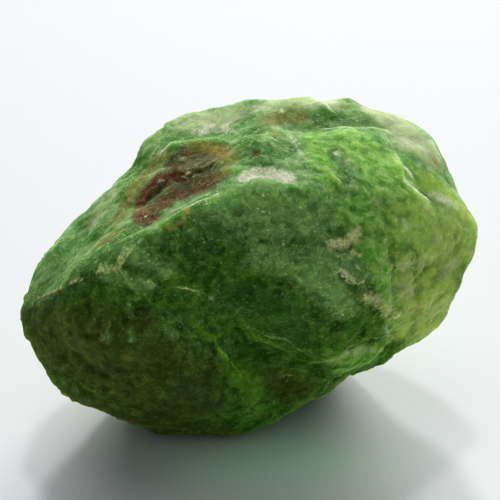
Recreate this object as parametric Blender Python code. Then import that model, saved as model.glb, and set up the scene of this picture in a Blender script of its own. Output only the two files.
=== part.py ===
"""A rough piece of green grossular garnet, 26 mm long, as it was broken out of its rock.

The stone is one solid. Its corners and edges are placed by hand, in millimetres, and joined into a
cage of broken faces. A fine ball of faces is then pressed onto that cage from outside, its edges
are worn round, and chips, ledges and pits are cut into it. The stone rests on one small broken
face at z = 0. X runs along the stone, Y to its back and Z up.
"""

import math

import bmesh
import bpy
import numpy as np
from mathutils import Vector
from mathutils.bvhtree import BVHTree

MM = 0.001

# The point inside the stone from which every corner can be seen.
HEART = (0.0, -0.4, 9.0)

# How finely the surface is divided: each side of the starting cube becomes this many squares.
SQUARES_PER_SIDE = 28

# Wear rounds the edges, which takes the corners in a little, so the cage starts a little larger.
WEAR_PASSES = 2
WEAR = 0.45
BEFORE_WEAR = 1.012

# The corners of the broken faces, in groups that follow the stone's edges.
CORNERS = {
    # The outline seen from the front, from the left tip over the top to the right tip.
    "left shoulder": [(-13.0, -3.0, 7.8), (-12.4, -1.5, 8.9), (-10.9, 1.2, 10.8), (-8.7, 2.7, 12.4)],
    "back lobe": [(-6.8, 3.5, 13.3), (-6.4, 5.0, 14.2), (-5.2, 6.0, 15.2), (-3.5, 6.5, 15.7)],
    "top rim": [(-1.0, 6.4, 16.1), (2.2, 5.6, 17.4), (4.2, 5.0, 17.1), (6.0, 6.7, 15.9), (8.8, 7.1, 15.3)],
    "right rim": [(10.9, 6.3, 14.7), (11.8, 5.2, 13.5), (11.8, 3.6, 12.3), (13.0, 1.6, 11.4)],
    "right tip": [(13.7, 1.0, 10.6), (12.7, 0.0, 8.8), (12.1, -0.5, 7.3), (11.0, -1.5, 5.9)],
    # The outline again, from the right tip back along the underside.
    "right underside": [(10.3, -2.0, 5.3), (8.2, -3.0, 5.0), (6.5, -4.0, 4.4), (4.9, -4.5, 3.8)],
    "front underside": [(2.9, -5.0, 2.7), (1.2, -5.1, 2.8), (0.8, -5.2, 1.7), (-0.7, -5.2, 0.8)],
    "left underside": [(-4.9, -5.3, 1.3), (-7.9, -6.1, 2.1), (-10.1, -6.0, 3.6), (-11.9, -5.1, 4.9)],
    "left tip": [(-13.0, -4.0, 6.7)],
    # The edge where the lit upper faces meet the front, from the left tip over the nose.
    "crest": [(-12.5, -4.5, 9.0), (-10.5, -6.5, 11.2), (-7.1, -8.5, 13.9), (-6.0, -6.8, 15.4)],
    "knee": [(-3.8, -6.0, 16.2), (-1.9, -5.2, 16.7), (0.0, -4.0, 16.9), (2.7, -4.5, 16.5), (4.7, -4.5, 15.8)],
    # The edge between the dark front face and the right lobe.
    "arete": [(5.6, -6.0, 13.2), (6.7, -6.6, 11.2), (7.6, -5.0, 7.6), (4.5, -6.5, 6.3)],
    # The front: its left belly, the groove that parts it from the middle face, and that face.
    "belly": [(-9.4, -8.0, 8.9), (-6.8, -9.2, 9.3), (-3.9, -8.4, 6.2), (-8.4, -7.2, 4.5)],
    "groove": [(-5.2, -8.3, 11.7), (-2.0, -7.4, 8.4), (0.0, -6.6, 4.1)],
    "middle face": [(-0.5, -7.0, 14.1), (2.2, -7.6, 11.2), (2.8, -6.6, 6.1)],
    "right lobe": [(8.1, -2.0, 15.0), (9.5, -1.5, 14.1), (8.3, -4.5, 12.6), (10.7, -2.5, 11.5)],
    "right heel": [(9.6, -3.8, 9.0)],
    # The top and the upper left slope, with the stained hollow between them.
    "top": [(8.3, 2.5, 16.3), (4.8, 2.2, 16.7), (1.1, 1.5, 17.0), (-2.3, 1.8, 16.2), (5.0, -1.0, 16.4)],
    "hollow": [(-5.6, -2.0, 14.7), (-4.8, 0.0, 15.2), (-1.7, 0.0, 16.5), (-1.9, -3.0, 16.5)],
    "hollow mouth": [(-5.5, -6.0, 15.2)],
    "slope": [(-9.5, -3.5, 11.4), (-7.9, -2.0, 12.8)],
    # The back, which is two broken faces that meet in an upright edge.
    "back edge": [(0.5, 8.6, 13.0), (1.0, 9.2, 7.5), (0.0, 7.6, 2.6)],
    "back left": [(-5.5, 8.0, 11.0), (-9.3, 5.2, 8.0), (-6.5, 7.0, 4.0), (-11.8, 1.4, 6.2), (-9.5, 0.6, 2.9)],
    "back right": [(6.0, 8.6, 10.5), (9.8, 6.2, 9.5), (7.3, 6.4, 4.5), (11.6, 3.2, 7.4), (7.6, 1.2, 2.8)],
}

# The foot. Its corners lie a little under z = 0, where the stone is cut off flat.
FOOT_DEPTH = -0.4
FOOT = [(-5.0, -2.8), (-1.2, -3.0), (3.2, 0.4), (4.0, 4.4), (-1.0, 5.8), (-5.2, 3.2), (-6.2, 0.0)]

# Chips of three sizes cover the whole stone. Each is a patch that leans its own way, so that it
# stands proud of its neighbours on one side, as a ledge, and lies below them on the other. A set
# has its number of chips, its mean lean in millimetres per millimetre, and how sharp its ledges are.
CHIP_SETS = [(60, 0.04, 150.0), (190, 0.10, 320.0), (620, 0.11, 900.0)]
CHIP_SEED = 11

# The chips fade out below this height, because the foot is worn flat.
FOOT_FADE = 2.0

# Ledges are steps in the surface: a line along the step, the way to its lower side, the drop there,
# and how far from the line the surface has climbed back again.
LEDGE_WIDTH = 0.8
LEDGE_END = 0.9
LEDGES = [
    # Along the crest.
    ([(-12.5, -4.1, 8.9), (-10.5, -6.3, 11.1), (-7.2, -8.0, 13.7)], (0.2, -0.4, -0.9), 0.35, 2.0),
    # Round the stained hollow: its front lip, its back wall and a step above that.
    ([(-5.6, -6.0, 15.0), (-3.6, -5.0, 16.2), (-1.9, -4.8, 16.8)], (-0.4, 0.9, 0.1), 0.6, 2.2),
    ([(-6.2, -1.4, 14.4), (-4.8, -0.8, 15.3), (-2.5, -1.5, 16.4)], (0.2, -1.0, 0.0), 0.5, 1.6),
    ([(-4.2, 1.6, 15.5), (-2.4, 1.4, 16.2), (-1.0, 0.4, 16.7)], (0.1, -1.0, 0.0), 0.4, 1.4),
    # On top, down to the pale rim behind and to the right lobe.
    ([(3.6, 2.0, 16.9), (6.3, 2.5, 16.7), (8.0, 3.3, 16.0)], (0.3, 0.9, -0.3), 0.5, 3.0),
    ([(8.0, 3.3, 16.0), (8.3, 0.6, 15.6), (9.9, -0.9, 14.3)], (0.9, 0.2, -0.3), 0.5, 2.5),
    # From the dark front face down to the right lobe.
    ([(5.2, -5.8, 13.7), (6.5, -6.7, 11.7), (7.4, -5.8, 9.0)], (1.0, 0.0, 0.0), 0.4, 2.2),
    # Off the belly, down into the groove and on to the underside.
    ([(-6.0, -8.4, 12.7), (-2.0, -7.7, 8.6)], (0.9, 0.0, 0.4), 0.6, 2.4),
    ([(-2.0, -7.7, 8.6), (-1.0, -7.2, 6.3), (0.3, -6.2, 3.5)], (0.9, 0.0, 0.4), 0.6, 2.4),
    # Under the middle face.
    ([(-2.0, -7.7, 8.6), (1.1, -6.9, 7.4), (4.6, -6.7, 6.3)], (-0.2, 0.0, -1.0), 0.5, 2.0),
    # Three on the back.
    ([(-9.0, 5.6, 8.6), (-4.0, 8.2, 7.4), (0.6, 9.0, 8.2)], (0.1, 0.2, -1.0), 0.6, 2.6),
    ([(0.8, 8.7, 12.2), (5.6, 8.6, 11.2), (9.6, 6.4, 10.4)], (0.0, 0.3, -1.0), 0.5, 2.2),
    ([(11.6, 3.6, 9.6), (9.6, 6.2, 7.4), (7.4, 6.6, 5.0)], (0.4, 0.4, -0.9), 0.5, 2.2),
]

# Pits are round hollows, each with its centre on the surface, its radius and its depth.
PITS = {
    "stained hollow": ((-4.4, -3.6, 15.7), 1.9, 0.6),
    "cream pocket": ((0.6, -3.5, 16.9), 0.9, 0.4),
    "brown pocket": ((2.0, 2.9, 17.1), 1.1, 0.4),
    "pale pocket": ((-2.0, 3.7, 16.1), 1.3, 0.35),
    "middle hollow": ((0.6, -7.4, 11.6), 2.6, 0.5),
    "belly dent": ((-9.4, -7.2, 7.4), 1.8, 0.35),
    "right dent": ((10.4, -3.0, 10.8), 1.6, 0.4),
    "back hollow": ((4.6, 8.6, 8.4), 2.2, 0.6),
    "left hollow": ((-8.4, 5.6, 10.6), 1.9, 0.5),
    "under hollow": ((-8.6, -2.0, 2.6), 1.8, 0.4),
}

# Corners closer together than this are one corner when the foot is cut.
CUT_TOLERANCE = 1e-5

# The colour of the stone as a whole, and how matt it is.
GREEN = (0.09, 0.2, 0.05, 1.0)
ROUGHNESS = 0.4


def all_corners():
    """Every corner of the cage, in millimetres."""
    corners = [Vector(corner) for group in CORNERS.values() for corner in group]
    return corners + [Vector((x, y, FOOT_DEPTH)) for x, y in FOOT]


def make_cage():
    """The broken faces. The corners are joined as they lie round the heart: the hull of their
    directions on a unit ball gives the triangles, and each corner then goes to its own place."""
    heart = Vector(HEART)
    cage = bmesh.new()
    places = {}
    for corner in all_corners():
        vert = cage.verts.new((corner - heart).normalized())
        places[vert] = corner
    bmesh.ops.convex_hull(cage, input=cage.verts)
    for vert, corner in places.items():
        vert.co = corner
    bmesh.ops.recalc_face_normals(cage, faces=cage.faces)
    return cage


def make_ball():
    """A unit ball of nearly equal squares, from a cube whose sides are divided and bulged."""
    ball = bmesh.new()
    bmesh.ops.create_cube(ball, size=2.0)
    bmesh.ops.subdivide_edges(ball, edges=ball.edges, cuts=SQUARES_PER_SIDE - 1, use_grid_fill=True)
    for vert in ball.verts:
        even = [math.tan(c * math.pi / 4) for c in vert.co]
        vert.co = Vector(even).normalized()
    return ball


def press_onto(ball, cage):
    """Moves each point of the ball along its direction from the heart onto the cage."""
    heart = Vector(HEART)
    tree = BVHTree.FromBMesh(cage)
    for vert in ball.verts:
        broken = tree.ray_cast(heart, vert.co)[0]
        vert.co = heart + (broken - heart) * BEFORE_WEAR


def wear_edges(ball):
    """Rounds the edges, as handling and weather do."""
    for _ in range(WEAR_PASSES):
        bmesh.ops.smooth_vert(
            ball, verts=ball.verts, factor=WEAR, use_axis_x=True, use_axis_y=True, use_axis_z=True
        )


def chip_heights(directions, reach, count, lean, sharpness, rng):
    """How far each point stands out because of one set of chips, in millimetres. A point takes its
    height from the slopes of the nearest chips: each chip's share falls off as the exponential of
    sharpness times the cosine of the angle to its centre, so the nearest one wins."""
    centres = rng.normal(size=(count, 3))
    centres /= np.linalg.norm(centres, axis=1, keepdims=True)
    slopes = rng.normal(size=(count, 3))
    slopes -= centres * np.sum(slopes * centres, axis=1, keepdims=True)
    near = directions @ centres.T
    share = np.exp(sharpness * (near - near.max(axis=1, keepdims=True)))
    share /= share.sum(axis=1, keepdims=True)
    along = directions @ slopes.T - np.sum(centres * slopes, axis=1)
    return reach * lean * np.sum(share * along, axis=1)


def ledge_drops(points, line, low_side, drop, climb):
    """How far each point is lowered by one ledge. Across the line the surface falls by the drop
    within the ledge's width, then climbs back as a bell curve. Past the line's ends it fades."""
    low_side = np.array(low_side) / np.linalg.norm(low_side)
    nearest = np.full(len(points), np.inf)
    offset = np.zeros_like(points)
    for start, end in zip(np.array(line[:-1]), np.array(line[1:])):
        run = end - start
        along = np.clip((points - start) @ run / (run @ run), 0, 1)
        delta = points - start - along[:, None] * run
        distance = np.linalg.norm(delta, axis=1)
        closer = distance < nearest
        nearest[closer] = distance[closer]
        offset[closer] = delta[closer]
    across = offset @ low_side
    aside = np.sqrt(np.maximum(nearest**2 - across**2, 0))
    fall = np.clip(across / LEDGE_WIDTH + 0.5, 0, 1)
    return drop * fall * np.exp(-((across / climb) ** 2) - (aside / LEDGE_END) ** 2)


def pit_depths(points, centre, radius, depth):
    """How far each point is lowered by one pit, as a bell curve of its distance from the centre."""
    distance = np.linalg.norm(points - np.array(centre), axis=1)
    return depth * np.exp(-((distance / radius) ** 2))


def break_surface(ball):
    """Cuts the chips, ledges and pits by moving each point along its direction from the heart."""
    rng = np.random.default_rng(CHIP_SEED)
    heart = np.array(HEART)
    points = np.array([vert.co for vert in ball.verts])
    reach = np.linalg.norm(points - heart, axis=1)
    directions = (points - heart) / reach[:, None]
    chips = sum(chip_heights(directions, reach, *chip_set, rng) for chip_set in CHIP_SETS)
    height = chips * np.clip(points[:, 2] / FOOT_FADE, 0, 1)
    height -= sum(ledge_drops(points, *ledge) for ledge in LEDGES)
    height -= sum(pit_depths(points, *pit) for pit in PITS.values())
    points = heart + directions * (reach + height)[:, None]
    for vert, point in zip(ball.verts, points):
        vert.co = point


def cut_foot(ball):
    """Cuts the stone off at z = 0 and closes the cut with one flat face."""
    cut = bmesh.ops.bisect_plane(
        ball,
        geom=ball.verts[:] + ball.edges[:] + ball.faces[:],
        dist=CUT_TOLERANCE,
        plane_co=(0, 0, 0),
        plane_no=(0, 0, -1),
        clear_outer=True,
    )
    rim = [e for e in cut["geom_cut"] if isinstance(e, bmesh.types.BMEdge)]
    bmesh.ops.contextual_create(ball, geom=rim)


def centre_stone(ball):
    """Slides the stone so that its box is centred on the origin, with its foot still at z = 0."""
    points = np.array([vert.co for vert in ball.verts])
    middle = (points.min(axis=0) + points.max(axis=0)) / 2
    bmesh.ops.translate(ball, verts=ball.verts, vec=(-middle[0], -middle[1], 0))


def add_stone(ball):
    """The finished mesh as an object in its own collection."""
    mesh = bpy.data.meshes.new("grossular")
    ball.to_mesh(mesh)
    mesh.shade_smooth()
    stone = bpy.data.objects.new("grossular", mesh)
    collection = bpy.data.collections.new("raw grossular")
    bpy.context.scene.collection.children.link(collection)
    collection.objects.link(stone)
    return stone


def stone_finish():
    """Green garnet: cloudy, with a low gloss."""
    finish = bpy.data.materials.new("green garnet")
    finish.use_nodes = True
    shader = finish.node_tree.nodes["Principled BSDF"]
    shader.inputs["Base Color"].default_value = GREEN
    shader.inputs["Roughness"].default_value = ROUGHNESS
    shader.inputs["Metallic"].default_value = 0.0
    return finish


def main():
    for old in list(bpy.data.objects):
        bpy.data.objects.remove(old)
    ball = make_ball()
    press_onto(ball, make_cage())
    wear_edges(ball)
    break_surface(ball)
    cut_foot(ball)
    centre_stone(ball)
    bmesh.ops.scale(ball, verts=ball.verts, vec=(MM, MM, MM))
    bmesh.ops.recalc_face_normals(ball, faces=ball.faces)
    stone = add_stone(ball)
    stone.data.materials.append(stone_finish())


main()
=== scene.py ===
import math

import bpy
import numpy as np
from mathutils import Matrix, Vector


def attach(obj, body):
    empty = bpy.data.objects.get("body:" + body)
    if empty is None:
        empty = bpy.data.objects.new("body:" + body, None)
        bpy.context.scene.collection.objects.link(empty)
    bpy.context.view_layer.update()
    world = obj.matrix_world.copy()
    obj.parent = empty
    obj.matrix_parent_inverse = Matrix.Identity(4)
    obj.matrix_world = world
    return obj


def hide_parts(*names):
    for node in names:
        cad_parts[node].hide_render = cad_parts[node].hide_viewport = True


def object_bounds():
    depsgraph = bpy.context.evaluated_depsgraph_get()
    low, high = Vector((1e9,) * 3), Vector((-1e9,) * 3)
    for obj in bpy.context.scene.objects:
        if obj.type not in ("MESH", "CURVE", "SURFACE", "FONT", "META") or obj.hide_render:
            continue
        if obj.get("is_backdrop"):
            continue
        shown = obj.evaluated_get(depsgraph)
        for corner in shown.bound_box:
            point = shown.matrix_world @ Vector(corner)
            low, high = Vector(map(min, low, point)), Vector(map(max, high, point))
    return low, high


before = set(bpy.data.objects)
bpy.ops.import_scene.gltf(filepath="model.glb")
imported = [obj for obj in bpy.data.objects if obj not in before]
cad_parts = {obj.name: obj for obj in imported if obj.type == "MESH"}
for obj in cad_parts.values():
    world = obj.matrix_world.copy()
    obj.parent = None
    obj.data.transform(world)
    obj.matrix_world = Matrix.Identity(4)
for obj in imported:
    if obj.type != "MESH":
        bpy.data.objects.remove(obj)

solid_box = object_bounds()
MM = 0.001

# The setting: a sheet of pale paper, lit from behind by a broad low window, two lamps and a little
# light from overhead, so that the top and the thin right end glow and the front lies in shade. The
# camera looks down on the stone from in front. None of it is part of the stone.
CAMERA_AIM = Vector((-0.17, -0.5, 10.3)) * MM
CAMERA_HEIGHT_ANGLE = math.radians(30)
CAMERA_DISTANCE = 158.7 * MM
CAMERA_LENS = 200
PAPER_SIZE = 6.0
PAPER = (0.80, 0.815, 0.83, 1.0)
DAYLIGHT = (0.90, 0.96, 1.0, 1.0)
DAYLIGHT_STRENGTH = 0.18


def distant_light(name, side, rise, spread, strength):
    """Light from this many degrees to the right of straight behind and this many above the paper,
    as from a round window that looks this many degrees wide."""
    lamp = bpy.data.lights.new(name, "SUN")
    lamp.angle = math.radians(spread)
    lamp.energy = strength
    light = bpy.data.objects.new(name, lamp)
    side, rise = math.radians(side), math.radians(rise)
    towards = Vector((math.sin(side) * math.cos(rise), math.cos(side) * math.cos(rise), math.sin(rise)))
    light.rotation_euler = towards.to_track_quat("Z", "Y").to_euler()
    bpy.context.collection.objects.link(light)


distant_light("low window", 12, 16, 46, 3.5)
distant_light("low lamp", -3, 33, 6, 0.85)
distant_light("high lamp", 0, 63, 6, 0.50)
distant_light("overhead", -15, 75, 40, 0.30)

# Some of the light goes right through the stone and comes out green below it.
THROUGH_PLACE = Vector((2.0, -7.0, 3.2)) * MM
THROUGH_WIDTH, THROUGH_DEPTH = 12 * MM, 4 * MM
THROUGH_COLOUR = (0.42, 1.0, 0.42)
THROUGH_STRENGTH = 3.8e-5
through = bpy.data.lights.new("light through the stone", "AREA")
through.shape = "RECTANGLE"
through.size = THROUGH_WIDTH
through.size_y = THROUGH_DEPTH
through.energy = THROUGH_STRENGTH
through.color = THROUGH_COLOUR
through_lamp = bpy.data.objects.new("light through the stone", through)
through_lamp.location = THROUGH_PLACE
bpy.context.collection.objects.link(through_lamp)

daylight = bpy.data.worlds.new("daylight")
daylight.use_nodes = True
sky = daylight.node_tree.nodes["Background"]
sky.inputs["Color"].default_value = DAYLIGHT
sky.inputs["Strength"].default_value = DAYLIGHT_STRENGTH
bpy.context.scene.world = daylight
bpy.context.scene.view_settings.view_transform = "Standard"

bpy.ops.mesh.primitive_plane_add(size=PAPER_SIZE)
paper = bpy.context.object
paper.name = "paper"
paper_finish = bpy.data.materials.new("pale paper")
paper_finish.use_nodes = True
paper_shader = paper_finish.node_tree.nodes["Principled BSDF"]
paper_shader.inputs["Base Color"].default_value = PAPER
paper_shader.inputs["Roughness"].default_value = 0.6
paper.data.materials.append(paper_finish)
paper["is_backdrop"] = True

lens = bpy.data.cameras.new("camera")
lens.lens = CAMERA_LENS
lens.sensor_width = 36
lens.clip_start = MM
camera = bpy.data.objects.new("camera", lens)
to_camera = Vector((0, -math.cos(CAMERA_HEIGHT_ANGLE), math.sin(CAMERA_HEIGHT_ANGLE)))
camera.location = CAMERA_AIM + to_camera * CAMERA_DISTANCE
camera.rotation_euler = to_camera.to_track_quat("Z", "Y").to_euler()
bpy.context.collection.objects.link(camera)
bpy.context.scene.camera = camera

# The stone's surface: one skin of grossular garnet as it broke. It follows the solid, with its
# facets blended away, and adds the small chips, thin ledges and pits that the solid leaves out.
HEART = np.array([0.0, -0.4, 9.0])
AROUND, UPWARD = 440, 226
FACET_BLEND = 0.044
FINE_CHIPS = [(2600, 0.10, 5000.0), (9000, 0.10, 16000.0)]   # count, lean, sharpness
FOOT_FADE = 1.5
SWELL_SIZE, SWELL_HEIGHT = 2.6, 0.05
GRAIN_SIZE, GRAIN_HEIGHT = 0.55, 0.02
WANDER_SIZE = 0.9
CHIP_WANDER, GRAIN_WANDER, LEDGE_WANDER = 0.022, 0.2, 0.25
TO_THE_LIGHT = np.array([0.3, 0.5, 0.8])
BACK_BEGINS, BACK_SHADE = 0.45, 1.3
BOTTOM_LIT, TOP_LIT = -0.8, 0.8
BROW_SPREAD = 6
BROW_HEIGHT = 0.03


def ball_directions():
    """Directions from the centre of a ball, as rows of circles at even angles from straight down to
    straight up, with AROUND directions in each circle, and then straight down and straight up."""
    bearing = np.arange(AROUND) * 2 * np.pi / AROUND
    rise = ((np.arange(UPWARD) + 0.5) / UPWARD - 0.5) * np.pi
    circle = np.stack([np.cos(bearing), np.sin(bearing), np.zeros(AROUND)], axis=1)
    rows = np.cos(rise)[:, None, None] * circle + np.sin(rise)[:, None, None] * np.array([0, 0, 1])
    return np.vstack([rows.reshape(-1, 3), [[0, 0, -1], [0, 0, 1]]])


def ball_faces():
    """Squares between neighbouring circles, and a fan of triangles round each end, facing outward."""
    start = np.arange(UPWARD * AROUND).reshape(UPWARD, AROUND)
    right = np.roll(start, -1, axis=1)
    squares = np.stack([start[:-1], right[:-1], right[1:], start[1:]], axis=2).reshape(-1, 4)
    bottom, top = UPWARD * AROUND, UPWARD * AROUND + 1
    under = np.stack([np.full(AROUND, bottom), right[0], start[0]], axis=1)
    over = np.stack([np.full(AROUND, top), start[-1], right[-1]], axis=1)
    return squares.tolist() + under.tolist() + over.tolist()


def nearest_shares(directions, centres, sharpness, values):
    """For each direction, the mean of the values, weighted by exp(sharpness * cosine of the angle to
    each centre), so that the nearest centres win. It works through the directions in blocks."""
    directions, centres, values = (a.astype(np.float32) for a in (directions, centres, values))
    mean = np.empty((len(directions), values.shape[1]), np.float32)
    for block in np.array_split(np.arange(len(directions)), len(directions) // 2000):
        cosine = directions[block] @ centres.T
        share = np.exp(np.float32(sharpness) * (cosine - cosine.max(axis=1, keepdims=True)))
        mean[block] = share @ values / share.sum(axis=1, keepdims=True)
    return mean.astype(float)


def solid_reach(directions):
    """How far the solid reaches from the heart in each direction: the mean distance of its corners,
    weighted by how near they lie, so that its flat facets blend into one another."""
    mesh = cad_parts["grossular"].data
    corners = np.empty(len(mesh.vertices) * 3)
    mesh.vertices.foreach_get("co", corners)
    corners = np.unique(corners.reshape(-1, 3).round(7), axis=0) / MM - HEART
    reach = np.linalg.norm(corners, axis=1, keepdims=True)
    return nearest_shares(directions, corners / reach, 1 / FACET_BLEND**2, reach)[:, 0]


def chip_heights(directions, reach, count, lean, sharpness, rng):
    """How far the surface stands out because of one set of chips. Each chip is a small plane with a
    slope of its own through its centre, and each direction takes the height of its nearest chips."""
    centres = rng.normal(size=(count, 3))
    centres /= np.linalg.norm(centres, axis=1, keepdims=True)
    slopes = rng.normal(size=(count, 3))
    slopes -= centres * np.sum(slopes * centres, axis=1, keepdims=True)
    middles = np.sum(centres * slopes, axis=1, keepdims=True)
    plane = nearest_shares(directions, centres, sharpness, np.hstack([slopes, middles]))
    return reach * lean * (np.sum(directions * plane[:, :3], axis=1) - plane[:, 3])


def soft_noise(points, size, seed):
    """Smooth random numbers from -1 to 1 that change over about one size. The corners of a lattice
    hold random numbers, and each point blends its eight with the weight 3t^2 - 2t^3 along each axis."""
    lattice = np.random.default_rng(seed).uniform(-1, 1, (48, 48, 48))
    place = points / size + 1000
    low = np.floor(place).astype(int)
    t = place - low
    t = t * t * (3 - 2 * t)
    noise = np.zeros(len(points))
    for corner in np.ndindex(2, 2, 2):
        i, j, k = ((low + corner) % 48).T
        noise += lattice[i, j, k] * np.where(corner, t, 1 - t).prod(axis=1)
    return noise


def distance_to(points, line):
    """How far each point is from a line through these places, and the way there from the line."""
    line = np.array(line, float).reshape(-1, 3)
    nearest = np.full(len(points), np.inf)
    way = np.zeros_like(points)
    for start, end in zip(line, np.roll(line, -1, axis=0)[:max(len(line) - 1, 1)]):
        run = end - start
        along = np.clip((points - start) @ run / max(run @ run, 1e-9), 0, 1)
        delta = points - start - along[:, None] * run
        distance = np.linalg.norm(delta, axis=1)
        closer = distance < nearest
        nearest[closer] = distance[closer]
        way[closer] = delta[closer]
    return nearest, way


def marks(points, strokes):
    """How strongly each point is marked by the strokes, from 0 to 1. A stroke is a line, its width
    and its strength, and it falls off from the line as exp(-(distance / width)^2)."""
    strongest = np.zeros(len(points))
    for line, width, strength in strokes:
        distance, _ = distance_to(points, line)
        strongest = np.maximum(strongest, strength * np.exp(-((distance / width) ** 2)))
    return strongest


# Thin ledges: a line along the step, the way to its lower side, the drop there, how far from the line
# the surface has climbed back, and how pale the step's sharp edge is.
THIN_LEDGES = [
    ([(-12.7, -4.3, 8.7), (-10.0, -6.9, 11.7), (-7.3, -8.0, 13.4)], (0.2, -0.5, -0.9), 0.14, 0.7, 0.0),
    ([(-4.8, -6.5, 15.7), (-4.0, -5.9, 16.1), (-2.0, -4.9, 16.4)], (-0.4, 0.9, 0.1), 0.20, 0.8, 0.9),
    ([(-6.1, -1.5, 14.1), (-4.8, -0.6, 15.2), (-2.7, -1.0, 16.0)], (0.2, -1.0, 0.0), 0.18, 0.6, 0.0),
    ([(-0.6, -4.2, 16.8), (0.5, -3.4, 16.8), (1.9, -3.9, 16.7)], (0.0, 1.0, 0.0), 0.18, 0.7, 0.5),
    ([(4.4, 2.5, 16.6), (6.1, 3.3, 16.3), (7.6, 4.0, 15.8)], (0.2, 1.0, -0.2), 0.20, 1.0, 0.5),
    ([(7.9, 2.6, 15.6), (8.1, 1.7, 15.5), (8.5, -0.8, 15.3),
      (9.8, -0.6, 13.7)], (0.9, 0.4, -0.2), 0.16, 0.8, 0.7),
    ([(4.9, -6.7, 12.6), (5.4, -6.8, 12.1), (6.1, -6.7, 11.7)], (0.5, -0.6, -0.6), 0.14, 0.5, 1.0),
    ([(7.5, -5.0, 12.9), (7.8, -5.2, 11.4), (7.6, -5.6, 8.7),
      (7.6, -4.2, 6.5)], (1.0, 0.2, 0.0), 0.22, 0.9, 0.3),
    ([(-5.6, -8.3, 11.7), (-4.0, -8.0, 10.2), (-2.2, -7.2, 8.3)], (0.8, 0.0, 0.6), 0.10, 0.8, 0.25),
    ([(-0.7, -6.6, 8.8), (1.0, -7.0, 7.9), (2.5, -6.4, 6.6),
      (4.1, -6.3, 6.3)], (-0.2, 0.0, -1.0), 0.16, 0.9, 0.4),
    ([(-4.1, -7.7, 12.1), (-3.0, -7.4, 11.7), (-2.3, -7.3, 11.2)], (-0.2, -0.2, -1.0), 0.06, 0.4, 0.55),
    ([(4.3, -6.5, 6.4), (5.4, -6.2, 7.2), (6.7, -5.3, 7.4)], (0.0, -0.6, -1.0), 0.15, 0.7, 0.6),
    ([(-2.0, -7.1, 8.2), (-1.4, -7.0, 6.9), (-0.8, -6.8, 5.8)], (1.0, 0.0, 0.3), 0.10, 0.7, 0.8),
    ([(-3.9, -0.9, 15.5), (-3.2, -1.2, 15.8), (-2.5, -1.4, 16.1)], (0.3, -1.0, 0.0), 0.03, 0.3, 0.75),
    ([(-3.6, -0.6, 15.6), (-2.8, -0.8, 16.0)], (0.1, -1.0, 0.0), 0.03, 0.3, 0.5),
    ([(-6.7, -7.5, 14.3), (-7.3, -8.0, 13.4)], (1.0, -0.2, 0.3), 0.12, 0.5, 0.5),
    ([(0.5, -6.9, 13.7), (2.6, -6.9, 12.6), (3.9, -7.2, 11.2),
      (5.1, -6.9, 9.6)], (-0.6, 0.0, -0.8), 0.10, 1.2, 0.0),
    ([(-0.2, -6.7, 8.8), (1.6, -7.1, 8.3), (3.0, -6.8, 7.3)], (-0.2, 0.0, -1.0), 0.05, 0.4, 0.5),
    ([(-6.7, -8.1, 11.4), (-6.9, -8.6, 10.4), (-6.7, -9.0, 9.5)], (1.0, 0.0, 0.2), 0.10, 0.6, 0.2),
    ([(5.1, -4.0, 15.5), (5.6, -2.8, 16.0), (5.2, -1.2, 16.4)], (-1.0, 0.3, 0.0), 0.10, 0.8, 0.3),
]
THIN_LEDGE_WIDTH = 0.16
LEDGE_SIDE_FADE = 0.7
EDGE_REACH = 0.45
EDGE_LIMIT = 0.6


def thin_ledge(points, line, low_side, drop, climb):
    """How far one ledge lowers each point: by the drop just past the line, then less and less as
    exp(-(distance past the line / climb)^2). It fades beyond the line's ends."""
    low_side = np.array(low_side) / np.linalg.norm(low_side)
    distance, way = distance_to(points, line)
    past = way @ low_side
    aside = np.sqrt(np.maximum(distance**2 - past**2, 0))
    fall = np.clip(past / THIN_LEDGE_WIDTH + 0.5, 0, 1)
    return drop * fall * np.exp(-((past / climb) ** 2) - (aside / LEDGE_SIDE_FADE) ** 2)


def ledge_edges(points, ledges):
    """How far each point is past its nearest ledge's line, on its lower side or before it, and how
    pale that edge is there, which falls off as exp(-(distance / EDGE_REACH)^2)."""
    nearest = np.full(len(points), np.inf)
    past = np.zeros(len(points))
    pale = np.zeros(len(points))
    for line, low_side, _, _, paleness in ledges:
        distance, way = distance_to(points, line)
        closer = distance < nearest
        nearest[closer] = distance[closer]
        past[closer] = (way @ (np.array(low_side) / np.linalg.norm(low_side)))[closer]
        pale[closer] = paleness * np.exp(-((distance[closer] / EDGE_REACH) ** 2))
    return np.clip(past, -EDGE_LIMIT, EDGE_LIMIT), pale


def outward(grid):
    """Which way the surface faces at each point of a grid of circles: the cross product of the steps
    along its circle and across to the circles above and below, three points away on each side."""
    along = np.roll(grid, -3, axis=1) - np.roll(grid, 3, axis=1)
    row = np.arange(UPWARD)
    up = grid[np.minimum(row + 3, UPWARD - 1)] - grid[np.maximum(row - 3, 0)]
    facing = np.cross(along, up)
    return facing / np.linalg.norm(facing, axis=2, keepdims=True)


rng = np.random.default_rng(5)
directions = ball_directions()
reach = solid_reach(directions)
rough_place = HEART + directions * reach[:, None]
wander = np.stack([soft_noise(rough_place, WANDER_SIZE, seed) for seed in (1, 2, 3)], axis=1)
shaken = directions + CHIP_WANDER * wander
shaken /= np.linalg.norm(shaken, axis=1, keepdims=True)

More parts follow.
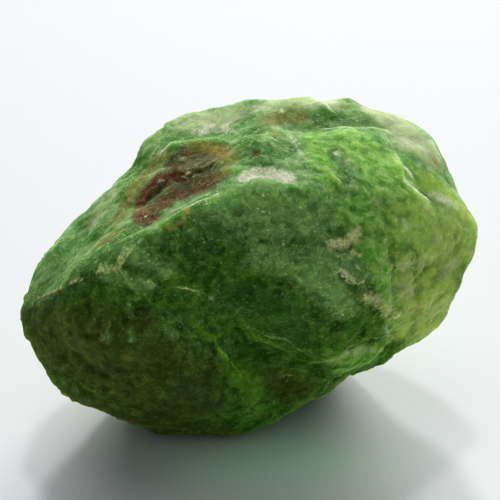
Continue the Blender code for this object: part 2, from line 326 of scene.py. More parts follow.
# How far each point faces the light, which is lower on the back. The sides that face it are a little
# smoother.
ring = np.arange(UPWARD * AROUND).reshape(UPWARD, AROUND)
facing = outward(rough_place[ring])
lit = facing @ TO_THE_LIGHT - BACK_SHADE * np.clip(facing[:, :, 1] - BACK_BEGINS, 0, 1)
lit = np.append(lit.ravel(), [BOTTOM_LIT, TOP_LIT])
height = sum(chip_heights(shaken, reach, *chips, rng) for chips in FINE_CHIPS)
height *= 1.15 - 0.6 * np.clip(lit, 0, 1)
height += SWELL_HEIGHT * soft_noise(rough_place, SWELL_SIZE, 4)
height += GRAIN_HEIGHT * soft_noise(rough_place + GRAIN_WANDER * wander, GRAIN_SIZE, 6)
wavy_place = rough_place + LEDGE_WANDER * wander
height -= sum(thin_ledge(wavy_place, *ledge[:4]) for ledge in THIN_LEDGES)
height *= np.clip(rough_place[:, 2] / FOOT_FADE, 0, 1)

# How far each point stands above its surroundings, which is its height less the mean height nearby.
brow = height[ring]
for _ in range(BROW_SPREAD):
    brow = (brow + np.roll(brow, 1, axis=1) + np.roll(brow, -1, axis=1)) / 3
    brow[1:-1] = (brow[:-2] + brow[1:-1] + brow[2:]) / 3
brow = np.append((height[ring] - brow).ravel(), [0.0, 0.0])
reach = reach + height
down = np.minimum(directions[:, 2], -1e-6)
reach = np.minimum(reach, np.where(directions[:, 2] < 0, HEART[2] / -down, np.inf))
places = HEART + directions * reach[:, None]
places[:, 2] = np.maximum(places[:, 2], 0)

skin = bpy.data.meshes.new("grossular_surface")
skin.from_pydata((places * MM).tolist(), [], ball_faces())
skin.shade_smooth()
stone = bpy.data.objects.new("grossular_surface", skin)
bpy.context.collection.objects.link(stone)

# The stone's colours, and some painted light and shade, each where it lies in or on the stone: a line,
# how far it spreads, and how strong it is there. The back has the same kinds of patch as the front.
STAIN = [
    ([(-5.6, -3.0, 14.4), (-4.4, -2.1, 14.9), (-2.9, -2.4, 15.6), (-2.2, -2.7, 16.1)], 1.25, 1.0),
    ([(-6.1, -1.1, 14.3), (-4.9, -0.6, 15.1), (-3.6, -0.8, 15.6), (-2.6, -1.2, 16.0)], 1.1, 1.0),
    ([(-4.2, 0.0, 15.3), (-3.0, 0.4, 15.8), (-2.2, -0.2, 16.2)], 0.8, 1.0),
    ([(-4.6, 0.7, 15.2), (-3.6, 1.4, 15.8), (-2.7, 1.2, 16.0), (-1.9, 0.2, 16.3),
      (-1.7, -0.9, 16.5)], 0.75, 0.85),
    ([(-6.2, -3.6, 14.2), (-5.5, -4.3, 14.4)], 0.7, 1.0),
    ([(-7.7, -4.2, 13.5), (-8.5, -4.2, 12.9)], 0.6, 0.55),
    ([(1.0, 2.7, 17.0), (1.8, 3.2, 17.0), (2.6, 3.4, 17.0)], 0.7, 0.5),
]
RUST = [
    ([(-6.4, -1.9, 14.0), (-6.0, -0.9, 14.5), (-5.4, -0.5, 14.9), (-4.6, -0.7, 15.2),
      (-3.9, -0.9, 15.5)], 0.5, 1.0),
    ([(-6.4, -2.6, 14.0), (-6.2, -3.7, 14.2), (-5.5, -4.3, 14.4)], 0.6, 1.0),
    ([(-5.7, -3.2, 14.4), (-4.4, -2.5, 15.0), (-3.2, -2.3, 15.5), (-2.5, -2.9, 16.0)], 1.0, 0.62),
    ([(-4.4, 0.5, 15.2), (-3.7, 1.1, 15.7)], 0.45, 0.75),
    ([(0.2, -1.5, 17.1)], 0.36, 1.0),
    ([(-6.9, -6.4, 2.5)], 0.4, 0.9),
]
OCHRE = [
    ([(-7.6, -2.2, 13.3), (-7.0, -0.6, 13.8), (-6.6, 0.6, 14.2), (-5.8, 1.4, 14.7),
      (-5.0, 1.6, 15.1)], 0.9, 0.85),
    ([(-3.4, 1.6, 15.8), (-2.6, 1.3, 16.0), (-1.6, 0.3, 16.4), (-1.3, -1.4, 16.6),
      (-1.6, -2.6, 16.5)], 0.8, 0.85),
    ([(1.4, 1.6, 17.2), (1.2, 0.1, 17.3)], 0.5, 0.65),
    ([(1.0, 2.7, 17.0), (1.8, 3.2, 17.0), (2.6, 3.4, 17.0)], 0.9, 0.85),
    ([(-7.7, -4.2, 13.5), (-8.5, -4.2, 12.9)], 0.7, 0.9),
    ([(10.2, 3.8, 14.7), (10.7, 2.8, 14.0), (10.3, 2.2, 14.4)], 0.7, 0.5),
    ([(-7.2, -8.0, 13.0)], 0.3, 0.8),
    ([(-6.9, -9.0, 8.3)], 0.5, 0.6),
    ([(7.6, -5.0, 12.6), (7.8, -5.2, 11.6)], 0.35, 0.55),
]
GOLD = [
    ([(-2.9, 1.3, 15.9), (-2.2, 0.8, 16.1), (-1.7, 0.0, 16.4)], 0.5, 0.8),
    ([(-4.9, -6.8, 15.4), (-4.4, -6.9, 15.4), (-3.8, -6.6, 15.7), (-3.6, -6.0, 16.1)], 0.24, 0.85),
    ([(8.5, -4.8, 8.7), (9.0, -4.3, 8.6), (9.5, -3.6, 8.2)], 0.28, 1.0),
    ([(10.5, 3.2, 14.3), (10.6, 2.4, 14.1)], 0.5, 0.6),
    ([(2.2, 3.0, 17.0), (2.8, 3.2, 16.9)], 0.5, 0.6),
]
CREAM = [
    ([(-0.5, -3.6, 16.8), (0.4, -3.0, 16.7), (1.4, -3.0, 16.7), (1.9, -3.5, 16.7)], 0.5, 1.25),
    ([(2.2, 0.5, 17.0), (2.5, -0.4, 16.9), (2.7, -1.2, 16.8)], 0.3, 0.5),
    ([(1.7, 3.7, 17.1)], 0.24, 0.9),
    ([(4.7, -0.6, 16.6)], 0.3, 0.9),
    ([(-2.5, 4.2, 15.8), (-2.9, 3.6, 15.7)], 0.7, 0.62),
    ([(-1.5, 3.7, 16.0), (-1.3, 2.6, 16.1)], 0.5, 0.62),
    ([(-5.2, 2.2, 15.3), (-4.6, 2.6, 15.3)], 0.6, 0.55),
    ([(8.6, 0.3, 15.3), (9.0, -0.1, 14.8)], 0.2, 0.85),
    ([(8.5, -1.2, 15.2), (9.2, -1.0, 14.4), (10.0, -0.6, 13.6)], 0.22, 0.8),
    ([(10.1, -0.1, 13.7), (10.8, 0.1, 13.2), (11.6, 0.4, 12.7)], 0.4, 0.7),
    ([(4.3, -5.9, 13.8), (5.0, -5.6, 13.7), (5.8, -5.1, 14.1)], 0.42, 0.8),
    ([(5.4, -5.7, 13.2), (5.9, -5.7, 13.0)], 0.16, 1.0),
    ([(5.7, -6.1, 12.4)], 0.18, 0.9),
    ([(4.9, -6.7, 12.6), (5.4, -6.8, 12.1), (6.2, -6.7, 11.7)], 0.2, 1.0),
    ([(6.2, -6.9, 11.1), (6.8, -6.2, 10.3), (7.2, -5.7, 9.6), (8.1, -5.2, 8.7)], 0.6, 0.6),
    ([(-8.4, -7.3, 13.0), (-7.3, -7.9, 13.5), (-7.1, -7.4, 14.0), (-6.1, -7.4, 14.9)], 0.34, 0.58),
    ([(-7.3, -8.1, 13.4)], 0.22, 1.2),
    ([(-12.8, -4.2, 8.6), (-12.0, -4.3, 9.5), (-10.7, -6.1, 11.1), (-9.4, -7.0, 12.3)], 0.2, 0.55),
    ([(-3.8, -0.9, 15.5), (-2.6, -1.4, 16.1)], 0.2, 0.75),
    ([(-5.3, -0.8, 15.0), (-4.6, -0.9, 15.2)], 0.2, 0.7),
    ([(-4.9, -6.4, 15.7), (-4.0, -5.9, 16.1), (-3.0, -5.4, 16.3), (-2.0, -4.9, 16.4)], 0.18, 0.75),
    ([(-4.1, -7.7, 12.2), (-3.5, -7.6, 12.0), (-3.0, -7.4, 11.6)], 0.14, 0.8),
    ([(-2.3, -7.3, 11.2)], 0.3, 0.6),
    ([(-5.8, -8.2, 12.7), (-5.3, -8.1, 12.4)], 0.3, 0.55),
    ([(9.3, -2.9, 6.2)], 0.3, 0.6),
]
# Partly painted light: pale patches on the thin back and right edges, where light comes through, as
# well as pale patches of the stone.
PALE = [
    ([(-3.5, 5.0, 15.7), (-1.4, 4.7, 16.1)], 1.9, 0.7),
    ([(0.6, 4.4, 16.9), (3.0, 4.6, 16.9), (4.6, 5.4, 16.7)], 1.2, 0.72),
    ([(7.4, 5.7, 16.0), (8.4, 4.7, 15.6), (9.2, 3.3, 15.2), (10.2, 3.6, 14.7)], 1.5, 1.0),
    ([(-9.0, -0.4, 12.1), (-7.9, 1.1, 13.2)], 1.0, 0.62),
    ([(8.4, -3.2, 13.5)], 0.5, 0.7),
    ([(10.4, -2.3, 12.1)], 0.55, 0.7),
    ([(10.5, -2.3, 9.6), (11.4, -1.5, 9.9)], 0.6, 0.6),
    ([(6.9, -3.2, 15.1)], 0.6, 0.55),
    ([(8.2, -5.0, 11.8), (9.3, -4.2, 11.5)], 0.5, 0.6),
    ([(8.8, -4.6, 9.9), (8.2, -5.2, 10.6)], 0.6, 0.6),
    ([(10.0, -3.1, 8.2)], 0.4, 0.6),
    ([(4.5, -6.5, 6.4), (5.4, -6.2, 6.9), (6.7, -5.3, 6.6)], 0.5, 0.55),
    ([(-8.0, 6.5, 9.0), (-4.0, 8.5, 6.0)], 1.8, 0.6),
    ([(4.0, 9.0, 11.0)], 2.0, 0.5),
]
# Partly painted light: the lime green of the thin right end, glowing where light comes through it.
LIME = [
    ([(9.6, -2.6, 13.2), (10.4, -2.5, 12.0), (11.4, -1.3, 11.4), (10.2, -3.0, 9.2),
      (10.4, -2.3, 6.6)], 2.2, 1.0),
    ([(8.2, -4.6, 12.0), (8.5, -4.8, 10.6), (8.9, -4.5, 9.0), (8.6, -3.6, 6.8)], 0.9, 0.9),
    ([(12.0, 0.5, 11.0)], 2.5, 1.0),
    ([(9.8, 0.5, 14.0), (11.0, 0.6, 13.0), (11.8, 0.0, 12.3)], 1.0, 1.0),
    ([(9.0, 5.5, 8.0), (6.0, 8.0, 6.0)], 2.0, 0.6),
]
# Partly painted light: lighter green on the facets that face right and catch light.
FRESH = [
    ([(6.4, -5.3, 13.2), (7.2, -5.6, 11.7), (7.8, -5.2, 9.8), (8.0, -4.5, 7.6)], 1.0, 1.0),
    ([(5.9, -4.4, 14.8), (7.2, -3.6, 14.8), (7.1, -1.2, 15.8), (5.6, 1.0, 16.6)], 1.7, 0.95),
    ([(7.9, -4.3, 13.2), (8.4, -2.6, 14.2), (8.2, 0.2, 15.4)], 1.3, 0.95),
    ([(4.6, -3.4, 16.0), (3.6, -1.0, 16.7), (3.6, 1.4, 16.8)], 1.2, 0.7),
    ([(4.5, -6.5, 6.3), (5.4, -6.1, 6.5), (6.9, -5.2, 6.3), (7.6, -4.3, 6.6)], 0.75, 1.0),
    ([(4.9, -5.7, 5.3), (6.4, -4.8, 5.4)], 0.6, 0.8),
]
# Painted shade: darker green over lit slopes along the crest and a few other places.
DEEP = [
    ([(-12.6, -3.8, 8.9), (-12.2, -3.7, 9.3), (-11.2, -3.9, 10.2), (-9.8, -5.6, 12.4),
      (-8.5, -5.0, 13.0)], 1.0, 1.0),
    ([(-8.5, -5.0, 13.0), (-6.9, -4.9, 14.0), (-5.7, -5.0, 14.9), (-4.3, -5.4, 15.9),
      (-2.6, -5.0, 16.3)], 1.2, 1.0),
    ([(-9.4, -6.9, 12.4), (-8.4, -6.6, 13.1), (-7.3, -6.4, 14.0), (-6.2, -6.7, 15.0)], 1.0, 1.0),
    ([(-1.5, -7.1, 11.4), (0.5, -7.1, 10.8), (1.9, -7.3, 10.0), (2.4, -7.0, 8.8)], 1.2, 0.95),
    ([(-0.6, -0.5, 17.0), (-0.2, 0.6, 17.0), (0.4, 1.6, 17.1)], 1.0, 1.0),
    ([(4.9, 3.6, 16.5), (6.5, 4.2, 16.1)], 0.7, 0.7),
    ([(-3.5, -7.2, 14.2), (-1.8, -6.8, 14.4)], 1.0, 0.85),
]
# Painted shade: dark lines in the creases along the crest and in two creases on the front.
CREASE_SHADE = [
    ([(-12.8, -4.2, 8.6), (-12.0, -4.4, 9.5), (-10.7, -6.2, 11.0), (-9.4, -7.1, 12.2),
      (-8.3, -7.5, 12.9)], 0.2, 1.0),
    ([(-2.3, -7.5, 7.3), (-2.0, -7.3, 6.2)], 0.2, 0.8),
    ([(4.6, -6.0, 13.4), (4.7, -6.7, 12.3), (5.9, -6.9, 11.3)], 0.16, 0.7),
]
OLIVE = [
    ([(-11.8, -6.0, 7.5), (-9.0, -8.2, 8.0), (-6.2, -8.6, 6.7), (-4.5, -8.0, 4.5)], 3.6, 1.0),
    ([(-6.0, -8.8, 10.4)], 1.2, 0.8),
    ([(1.1, -6.2, 5.1), (2.7, -5.5, 4.0)], 1.5, 0.9),
    ([(-2.3, -7.5, 7.0), (-2.0, -7.3, 6.2)], 0.5, 0.8),
    ([(-10.2, -5.6, 3.6), (-6.5, -6.4, 2.0), (-3.0, -5.2, 1.0)], 2.4, 0.95),
    ([(-8.0, 4.0, 4.5), (-2.0, 8.0, 9.5)], 2.4, 0.7),
]
# Partly painted shade: the strokes along the crest paint the dark shadow band there; the others are
# bluish patches of the stone.
BLUISH = [
    ([(-4.0, 7.5, 8.0), (1.0, 8.5, 4.5)], 2.0, 0.8),
    ([(-4.0, -8.4, 6.1), (-2.2, -7.2, 4.0)], 1.3, 0.8),
    ([(-9.5, -7.1, 12.1), (-10.6, -6.4, 10.7), (-11.6, -5.7, 9.6), (-12.4, -4.9, 8.0)], 0.5, 0.9),
    ([(-8.4, -6.1, 13.1), (-6.9, -6.7, 14.3)], 0.7, 1.0),
    ([(2.0, -7.0, 8.6), (3.2, -6.8, 9.4)], 1.2, 0.7),
    ([(3.2, -7.0, 11.2), (4.6, -6.8, 11.6)], 1.3, 0.7),
]
# Partly painted light: bright green seams, glowing where light comes through the thin edges.
GLOWING_SEAM = [
    ([(-7.0, 5.5, 10.0), (-3.5, 8.0, 7.5), (-1.5, 8.0, 4.0)], 0.5, 0.8),
    ([(-5.6, -8.3, 11.7), (-4.4, -8.1, 10.9), (-3.3, -7.6, 10.1)], 0.6, 0.5),
    ([(-3.4, -7.7, 9.9), (-2.6, -7.6, 8.9), (-2.0, -7.0, 8.4), (-1.4, -6.8, 8.6)], 0.26, 1.0),
    ([(-0.7, -6.6, 8.8), (1.0, -7.0, 7.9), (2.5, -6.4, 6.6), (4.1, -6.3, 6.3)], 0.26, 0.75),
    ([(4.0, -6.4, 6.5), (4.8, -6.5, 7.0)], 0.4, 0.9),
    ([(-2.0, -7.1, 8.0), (-1.4, -7.0, 6.9), (-0.8, -6.8, 6.0)], 0.3, 0.85),
    ([(-0.9, -6.8, 6.1), (-0.1, -6.6, 5.0), (0.2, -6.4, 4.2)], 0.95, 0.85),
]
HAZE = [
    ([(-9.0, 3.5, 10.0), (-6.0, 6.0, 12.0), (-1.0, 7.5, 13.0)], 1.2, 0.9),
    ([(3.0, 8.0, 12.0), (6.5, 7.5, 9.0), (9.0, 5.0, 6.0)], 1.1, 0.85),
    ([(-1.6, -5.6, 16.2), (0.4, -5.3, 15.9), (2.0, -5.4, 15.5), (3.2, -5.0, 15.6)], 1.1, 1.15),
    ([(1.2, -6.2, 15.0), (3.4, -5.8, 14.6)], 0.9, 0.9),
    ([(0.5, -6.9, 13.7), (2.6, -6.9, 12.9), (3.9, -7.2, 11.8), (5.0, -7.0, 10.6)], 1.1, 0.95),
    ([(3.4, -6.3, 13.6), (4.4, -6.6, 12.6)], 0.9, 0.9),
    ([(-6.7, -7.6, 14.2), (-5.6, -7.9, 13.7), (-4.8, -7.9, 13.4)], 0.8, 0.8),
    ([(-8.2, -7.5, 12.8), (-7.0, -7.9, 12.9), (-5.6, -8.2, 12.4)], 0.6, 0.8),
    ([(-8.1, -8.7, 9.5)], 0.6, 0.6),
    ([(-6.7, -8.2, 11.4), (-6.6, -9.0, 9.5)], 0.25, 0.65),
    ([(-4.9, -8.4, 10.0), (-4.3, -8.3, 9.4)], 0.4, 0.55),
]
ZONES = {
    "stain": STAIN, "rust": RUST, "ochre": OCHRE, "cream": CREAM, "pale": PALE,
    "lime": LIME, "fresh": FRESH, "olive": OLIVE, "bluish": BLUISH, "glowing_seam": GLOWING_SEAM, "haze": HAZE,
    "deep": DEEP, "crease_shade": CREASE_SHADE, "gold": GOLD,
}
for name, strokes in ZONES.items():
    strength = marks(places, strokes).astype(np.float32)
    skin.attributes.new(name, "FLOAT", "POINT").data.foreach_set("value", strength)

# Painted light and shade: the sides that face the light take a lit copy of the greens, and the others a
# deeper, shaded green for light that has come through the stone. Small brows are painted paler and the
# dips painted darker.
past_edge, pale_edge = ledge_edges(wavy_place, THIN_LEDGES)
looks = {"lit_side": lit, "brow": brow / BROW_HEIGHT, "past": past_edge, "edge": pale_edge}
for name, values in looks.items():
    skin.attributes.new(name, "FLOAT", "POINT").data.foreach_set("value", values.astype(np.float32))


class Tone:
    """One output of a node in a material. Arithmetic on tones adds Math nodes to that material."""

    def __init__(self, tree, socket=None):
        self.tree = tree
        self.socket = socket

    def node(self, kind, inputs, output=0, **settings):
        """Adds a node of this type, gives it its settings first and then its sockets' values or
        links, and returns one of its outputs as a tone."""
        node = self.tree.nodes.new(kind)
        for setting, value in settings.items():
            setattr(node, setting, value)
        for name, value in inputs.items():
            if isinstance(value, Tone):
                self.tree.links.new(value.socket, node.inputs[name])
            else:
                node.inputs[name].default_value = value
        return Tone(self.tree, node.outputs[output])

    def math(self, operation, first, second):
        return self.node("ShaderNodeMath", {0: first, 1: second}, operation=operation)

    def __add__(self, other):
        return self.math("ADD", self, other)

    __radd__ = __add__

    def __sub__(self, other):
        return self.math("SUBTRACT", self, other)

    def __rsub__(self, other):
        return self.math("SUBTRACT", other, self)

    def __mul__(self, other):
        return self.math("MULTIPLY", self, other)

    __rmul__ = __mul__

    def step(self, low, high):
        """0 below low, 1 above high, and smooth between."""
        sockets = {"Value": self, "From Min": low, "From Max": high}
        return self.node("ShaderNodeMapRange", sockets, interpolation_type="SMOOTHSTEP")

    def size(self):
        """The value without its sign."""
        return self.math("ABSOLUTE", self, 0.0)

    def capped(self):
        """The value, or 1 where it is more."""
        return self.math("MINIMUM", self, 1.0)

    def vector(self, operation, other, output=0):
        """Vector maths on this tone and another, or on this tone and a number that scales it."""
        sockets = {0: self, "Scale" if operation == "SCALE" else 1: other}
        return self.node("ShaderNodeVectorMath", sockets, output, operation=operation)

    def over(self, under, cover):
        """This tone as a share of cover colour laid over the under colour."""
        sockets = {"Factor": self, 6: under, 7: cover}
        return self.node("ShaderNodeMix", sockets, output=2, data_type="RGBA")

    def shaded(self, shade):
        """This colour, multiplied by a shade."""
        sockets = {0: 1.0, 6: self, 7: shade}
        return self.node("ShaderNodeMix", sockets, 2, data_type="RGBA", blend_type="MULTIPLY")


# The finish: cloudy green garnet, in which light spreads a little before it comes out. Its greens
# run in cloudy patches, pale threads and specks lie just under the surface, and stains colour the
# hollow. Painted light and shade lie in the greens as well: lit and shaded copies of them, glow on
# the thin edges, painted shade in creases and painted glints among the specks. Fresh small fractures
# make it rough.
DEEP_GREEN = (0.022, 0.085, 0.003, 1)
MIDDLE_GREEN = (0.09, 0.25, 0.02, 1)
TOP_GREEN = (0.17, 0.37, 0.1, 1)
TOP_DARK = (0.08, 0.25, 0.05, 1)
TOP_LIGHT = (0.32, 0.52, 0.22, 1)
OLIVE_GREEN = (0.05, 0.08, 0.008, 1)
OLIVE_LIGHT = (0.085, 0.14, 0.018, 1)
BLUISH_GREEN = (0.036, 0.11, 0.03, 1)
LIME_DARK = (0.38, 0.62, 0.09, 1)
LIME_GREEN = (0.48, 0.7, 0.13, 1)
LIME_LIGHT = (0.55, 0.68, 0.22, 1)
PALE_GREEN = (0.64, 0.72, 0.4, 1)
GLOWING_SEAM_GREEN = (0.13, 0.36, 0.012, 1)
SEAM_GLOW = (0.36, 0.75, 0.06, 1)
HAZE_GREEN = (0.3, 0.58, 0.17, 1)
FRESH_DARK = (0.15, 0.45, 0.05, 1)
FRESH_GREEN = (0.4, 0.73, 0.14, 1)
SHADE_GREEN = (0.045, 0.15, 0.02, 1)
CREASE_SHADE_DARK = (0.03, 0.05, 0.015, 1)
STAIN_BROWN = (0.1, 0.052, 0.03, 1)
RUST_RED = (0.17, 0.05, 0.025, 1)
OCHRE_BROWN = (0.3, 0.24, 0.05, 1)
GOLD_OCHRE = (0.44, 0.38, 0.07, 1)
CREAM_WHITE = (0.98, 1.0, 0.72, 1)
CREAM_SHADED = (0.97, 1.0, 0.42, 1)
THREAD_WHITE = (0.5, 0.74, 0.18, 1)
SPECK_WHITE = (0.88, 0.94, 0.62, 1)
CLOUDINESS = 0.88
LIGHT_SPREAD = 2.4 * MM
SPREAD_BY_COLOUR = (0.8, 1.0, 0.65)
REFRACTION = 1.5
GLOSS = 0.03

finish = bpy.data.materials.new("cloudy green garnet")
finish.use_nodes = True
tree = finish.node_tree
shader = tree.nodes["Principled BSDF"]
garnet = Tone(tree)
where = garnet.node("ShaderNodeTexCoord", {}, output=3).vector("SCALE", 1 / MM)


def noise(scale, detail=2.0, roughness=0.5, place=where, output=0):
    """Blender's noise, with this many swings to the millimetre."""
    sockets = {"Vector": place, "Scale": scale, "Detail": detail, "Roughness": roughness}
    return garnet.node("ShaderNodeTexNoise", sockets, output=output)


def stretched(place, turn, squeeze):
    """Places turned and squeezed, so that a noise made there runs in streaks."""
    return garnet.node("ShaderNodeMapping", {"Vector": place, "Rotation": turn, "Scale": squeeze})


def shifted(place, scale, reach):
    """Places moved about by up to this reach, so that a pattern made there wanders."""
    return place.vector("ADD", noise(scale, 3.0, output=1).vector("SCALE", reach))


bent = shifted(where, 0.9, 0.9)
waving = shifted(where, 0.35, 1.6)
clouds = noise(0.45, 5.0, 0.6, bent)
mottle = noise(1.7, 5.0, 0.58, bent)
fine = noise(6.5, 4.0, 0.65)
grit = noise(3.2, 5.0, 0.75)
streaks = noise(1.2, 5.0, 0.6, stretched(bent, (0.0, 0.25, 0.0), (1.6, 1.6, 0.3)))
ragged = (noise(1.6, 6.0, 0.65) - 0.5) * 0.7
crumbly = ragged + (grit - 0.5) * 0.7


def carried(name):
    """One of the values that the mesh carries."""
    return garnet.node("ShaderNodeAttribute", {}, output=2, attribute_name=name)


def zone(name, low, high, edge=ragged):
    """How far one zone covers the stone, with its edge broken up."""
    return (carried(name) + edge).step(low, high)


def threads(turn, scale, thin, width, patches):
    """Thin curved lines that run mostly one way, in patches: where streaky noise is near its middle
    value."""
    level = noise(scale, 1.5, 0.4, stretched(waving, turn, (thin, 1.0, 1.0))) - 0.5
    line = 1 - level.size().step(0.0, width)
    return line * noise(0.7, 4.0, 0.6, stretched(where, turn, (1.0, 1.0, 1.0))).step(*patches)


# Painted light and shade: the front greens are a shaded copy and the top greens a lit copy of the same
# garnet, laid by how far each side faces the light.
uneven = 0.5 * streaks + 0.5 * mottle
front = uneven.step(0.36, 0.62).over(DEEP_GREEN, MIDDLE_GREEN)
olive = uneven.step(0.4, 0.64).over(OLIVE_GREEN, OLIVE_LIGHT)
olive_share = zone("olive", 0.15, 0.85)
front = olive_share.over(front, olive)
top = mottle.step(0.36, 0.74).over(TOP_GREEN, TOP_LIGHT)
top = (1 - clouds.step(0.4, 0.52)).over(top, TOP_DARK)
lit_side = zone("lit_side", -0.2, 0.5)
colour = lit_side.over(front, top)
# Partly painted light: lighter green where the facets face right and catch light.
fresh = mottle.step(0.38, 0.62).over(FRESH_DARK, FRESH_GREEN)
colour = (zone("fresh", 0.25, 0.75) * 0.85).over(colour, fresh)
# Partly painted light: glow at the thin right end.
lime = mottle.step(0.34, 0.6).over(LIME_DARK, LIME_GREEN)
lime = (grit.step(0.45, 0.7) * clouds.step(0.4, 0.6)).over(lime, LIME_LIGHT)
colour = zone("lime", 0.1, 0.9).over(colour, lime)
# Partly painted shade along the crest.
colour = (zone("bluish", 0.3, 1.1) * 0.7).over(colour, BLUISH_GREEN)
# Partly painted light: paler glow on the thin edges.
colour = (zone("pale", 0.25, 0.8) * 0.8).over(colour, PALE_GREEN)
# Painted shade.
colour = (zone("deep", 0.2, 0.9) * 0.8).over(colour, SHADE_GREEN)
# Partly painted light: glow along the seams.
glowing_seam = zone("glowing_seam", 0.25, 0.95)
colour = (glowing_seam * 0.85).over(colour, GLOWING_SEAM_GREEN)
haze = zone("haze", 0.2, 1.0)
colour = (zone("haze", 0.2, 1.0, crumbly) * 0.7).over(colour, HAZE_GREEN)
stain = zone("stain", 0.3, 0.85)
colour = (stain * 0.92).over(colour, STAIN_BROWN)
colour = (zone("ochre", 0.25, 0.95) * 0.72).over(colour, OCHRE_BROWN)
colour = (zone("rust", 0.3, 0.9) * 0.9).over(colour, RUST_RED)
colour = (zone("gold", 0.35, 0.85, crumbly) * 0.75).over(colour, GOLD_OCHRE)
# Painted shade: dark lines in creases.
colour = (zone("crease_shade", 0.35, 0.8, crumbly) * 0.8).over(colour, CREASE_SHADE_DARK)

# Where pale threads, specks and crumbs gather, more on the sides that face the light, where some of
# them are painted glints.
pale_marks_and_glints = zone("lit_side", -0.3, 0.4) * 0.7 + haze + zone("lime", 0.2, 0.7) + zone("fresh", 0.2, 0.9)
pale_marks_and_glints = (pale_marks_and_glints + 0.3 * (1 - olive_share)).capped() * (1 - 0.6 * stain) + 0.6 * haze

# Sets of threads: their turn, their swings to the millimetre, how far they are stretched, how thin
# they are, and the levels between which their patches begin.
THREADS = [
    ((0.3, 0.5, 0.4), 0.9, 0.16, 0.012, (0.5, 0.62)),
    ((1.2, 0.2, 1.9), 1.1, 0.16, 0.012, (0.5, 0.62)),
    ((0.7, 1.9, 2.7), 1.0, 0.16, 0.012, (0.48, 0.6)),
    ((2.1, 0.9, 0.2), 1.4, 0.16, 0.012, (0.48, 0.6)),
    ((0.2, 1.1, 0.9), 2.8, 0.3, 0.02, (0.5, 0.6)),
    ((1.6, 0.4, 0.3), 3.2, 0.3, 0.02, (0.5, 0.6)),
    ((0.9, 0.3, 2.2), 3.0, 0.3, 0.02, (0.5, 0.6)),
]
hair = sum(threads(*form) for form in THREADS).capped()
colour = (hair * (0.12 + 0.22 * pale_marks_and_glints)).over(colour, THREAD_WHITE)


def specks(scale, small, large, low, high):
    """Small round specks of different sizes, in patches: where a cell's middle is near."""
    sockets = {"Vector": bent, "Scale": scale, "Randomness": 1.0}
    speck = garnet.node("ShaderNodeTexVoronoi", sockets)
    return (1 - speck.step(small, large)) * noise(0.8 * scale / 3, 4.0, 0.7).step(low, high)


# Partly painted highlights: the specks stand for tiny glints as well as pale specks in the stone.
speck = (specks(3.2, 0.08, 0.22, 0.44, 0.6) + specks(1.7, 0.05, 0.14, 0.42, 0.58)).capped()
colour = (speck * (0.07 + 0.7 * pale_marks_and_glints)).over(colour, SPECK_WHITE)
crumbs = fine.step(0.52, 0.64) * mottle.step(0.4, 0.6)
colour = (crumbs * (0.08 + 0.42 * pale_marks_and_glints)).over(colour, THREAD_WHITE)
past = carried("past") + (grit - 0.5) * 0.2
sharp_edge = (1 - past.size().step(0.01, 0.06)) * carried("edge")
edge_colour = (1 - pale_marks_and_glints + glowing_seam).over(SPECK_WHITE, SEAM_GLOW)
colour = (sharp_edge * fine.step(0.38, 0.56)).over(colour, edge_colour)

# Single white grains: where each lies, and its width.
WHITE_GRAINS = [
    ((-7.3, -8.05, 13.4), 0.15),
    ((1.7, 3.7, 17.1), 0.12),
    ((4.7, -0.6, 16.6), 0.14),
    ((-5.9, -3.7, 14.3), 0.12),
    ((-5.6, -7.8, 13.9), 0.08),
    ((5.4, -5.6, 13.2), 0.1),
    ((9.8, -0.7, 13.8), 0.14),
    ((3.4, -5.8, 14.6), 0.08),
]
for middle, width in WHITE_GRAINS:
    away = shifted(where, 6.0, 0.08).vector("DISTANCE", middle, output=1)
    colour = (1 - away.step(width * 0.5, width)).over(colour, SPECK_WHITE)


def cells(scale):
    """Small broken planes, each with a slope and a shade of its own: how high the surface stands in
    its cell, as the slope times the way from the cell's middle, and the cell's shade. Both come from
    the cell's random colour, which arithmetic on the shade turns grey."""
    sockets = {"Vector": bent, "Scale": scale, "Randomness": 1.0}
    shade = garnet.node("ShaderNodeTexVoronoi", sockets, output=1)
    middle = Tone(tree, shade.socket.node.outputs["Position"])
    slope = shade.vector("SUBTRACT", (0.5, 0.5, 0.5))
    return bent.vector("SUBTRACT", middle).vector("DOT_PRODUCT", slope, output=1), shade


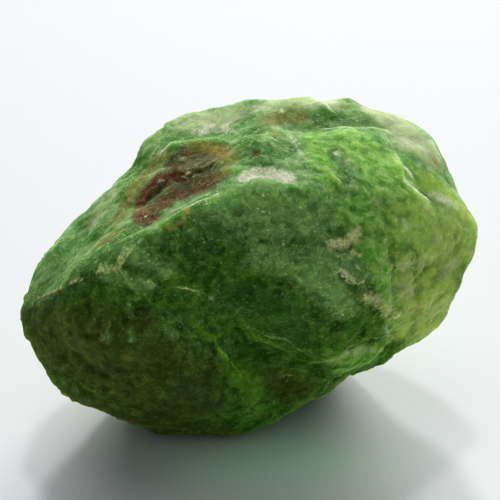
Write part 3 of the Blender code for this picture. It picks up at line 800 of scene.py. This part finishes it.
def cell_edges(scale, width):
    """Fine pale cracks where neighbouring broken planes meet."""
    sockets = {"Vector": bent, "Scale": scale, "Randomness": 1.0}
    gap = garnet.node("ShaderNodeTexVoronoi", sockets, feature="DISTANCE_TO_EDGE")
    return 1 - gap.step(0.0, width)


wide_rise, wide_shade = cells(1.1)
small_rise, small_shade = cells(3.2)
cracks = cell_edges(1.1, 0.035) * grit.step(0.45, 0.6)
cracks = cracks + cell_edges(3.2, 0.06) * mottle.step(0.5, 0.62) * 0.6
colour = (cracks * (0.1 + 0.35 * pale_marks_and_glints)).over(colour, THREAD_WHITE)
# Painted shade: each broken plane gets a shade of its own, small brows are painted paler and the dips
# painted darker.
grain_and_shade = 0.12 + 0.5 * fine + 0.3 * grit + 0.4 * wide_shade + 0.3 * small_shade
colour = colour.shaded(grain_and_shade + carried("brow").step(-2.5, 2.5) * 0.2)
# Painted light and shade: cream flecks take a lit copy of the cream on the sides that face the light
# and a yellower shaded copy elsewhere.
cream = zone("cream", 0.26, 0.86, crumbly) * (0.5 + 0.5 * fine.step(0.38, 0.58))
colour = cream.over(colour, zone("lit_side", 0.0, 0.6).over(CREAM_SHADED, CREAM_WHITE))

relief = mottle * 0.03 + grit * 0.04 + fine * 0.015 + streaks * 0.02 + hair * 0.004
relief = (relief + wide_rise * 0.4 + small_rise * 0.35) * (1 - 0.4 * lit_side)
bump = garnet.node("ShaderNodeBump", {"Strength": 1.0, "Distance": MM, "Height": relief})

tree.links.new(colour.socket, shader.inputs["Base Color"])
tree.links.new((0.5 + 0.4 * fine).socket, shader.inputs["Roughness"])
tree.links.new(bump.socket, shader.inputs["Normal"])
shader.inputs["Subsurface Weight"].default_value = CLOUDINESS
shader.inputs["Subsurface Radius"].default_value = SPREAD_BY_COLOUR
shader.inputs["Subsurface Scale"].default_value = LIGHT_SPREAD
shader.inputs["IOR"].default_value = REFRACTION
shader.inputs["Specular IOR Level"].default_value = GLOSS
skin.materials.append(finish)

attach(stone, "root")
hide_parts("grossular")

boxes = {"solid": solid_box, "visual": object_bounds()}
boxes = {name: [list(corner) for corner in box] for name, box in boxes.items()}
